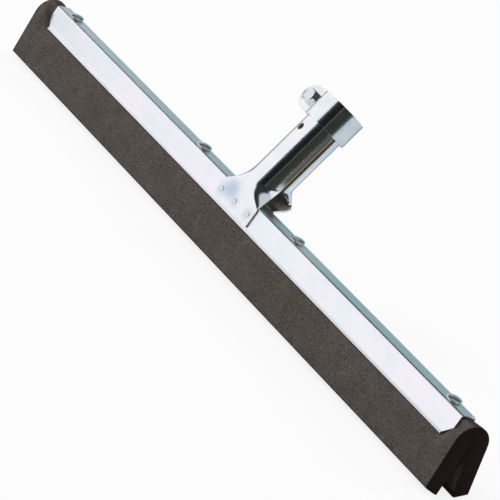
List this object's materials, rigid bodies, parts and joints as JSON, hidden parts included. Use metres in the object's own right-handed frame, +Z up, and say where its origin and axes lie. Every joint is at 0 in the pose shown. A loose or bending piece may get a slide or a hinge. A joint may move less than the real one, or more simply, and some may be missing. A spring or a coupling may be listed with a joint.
{
  "type": "floor squeegee head",
  "caption": "Floor squeegee head: a folded foam rubber blade gripped in a pressed steel channel, with a leaning rolled-steel clamp socket for a round handle",
  "frame": {"origin": "on the floor, midway between the two lips and at the middle of the blade's length", "axes": "+X along the blade to the side of the socket's open seam, +Y towards the user, the way the socket leans, +Z up from the floor"},
  "size_m": [0.56, 0.0727, 0.1264],
  "materials": {
    "zinc_sheet": "satin",
    "moss_rubber": "matte",
    "strip_steel": "satin",
    "rivet_steel": "gloss",
    "socket_sheet": "gloss",
    "ring_steel": "gloss",
    "fastener_zinc": "gloss"
  },
  "bodies": {
    "head": {"frame_channel": "zinc_sheet", "foam_blade": "moss_rubber", "clamp_strip": "strip_steel", "rivets": "rivet_steel", "socket": "socket_sheet"},
    "ring": {"clamp_ring": "ring_steel"},
    "bolt": {"clamp_bolt": "fastener_zinc"},
    "nut": {"clamp_nut": "fastener_zinc"}
  },
  "joints": [
    {"name": "ring_swivel", "type": "hinge", "parent": "head", "child": "ring", "pos_m": [0, 0.03671, 0.11056], "axis": [0, 0.4384, 0.8988], "continuous": true},
    {"name": "nut_travel", "type": "slide", "parent": "ring", "child": "nut", "axis": [0, 0.8988, -0.4384], "range_m": [0, 0.003]},
    {"name": "bolt_turn", "type": "hinge", "parent": "ring", "child": "bolt", "pos_m": [-0.0262, 0.03671, 0.11056], "axis": [0, -0.8988, 0.4384], "range_deg": [0, 1080]}
  ],
  "couplings": [
    {"joint": "bolt_turn", "follows": "nut_travel", "rad_per_m": 6283.2}
  ]
}
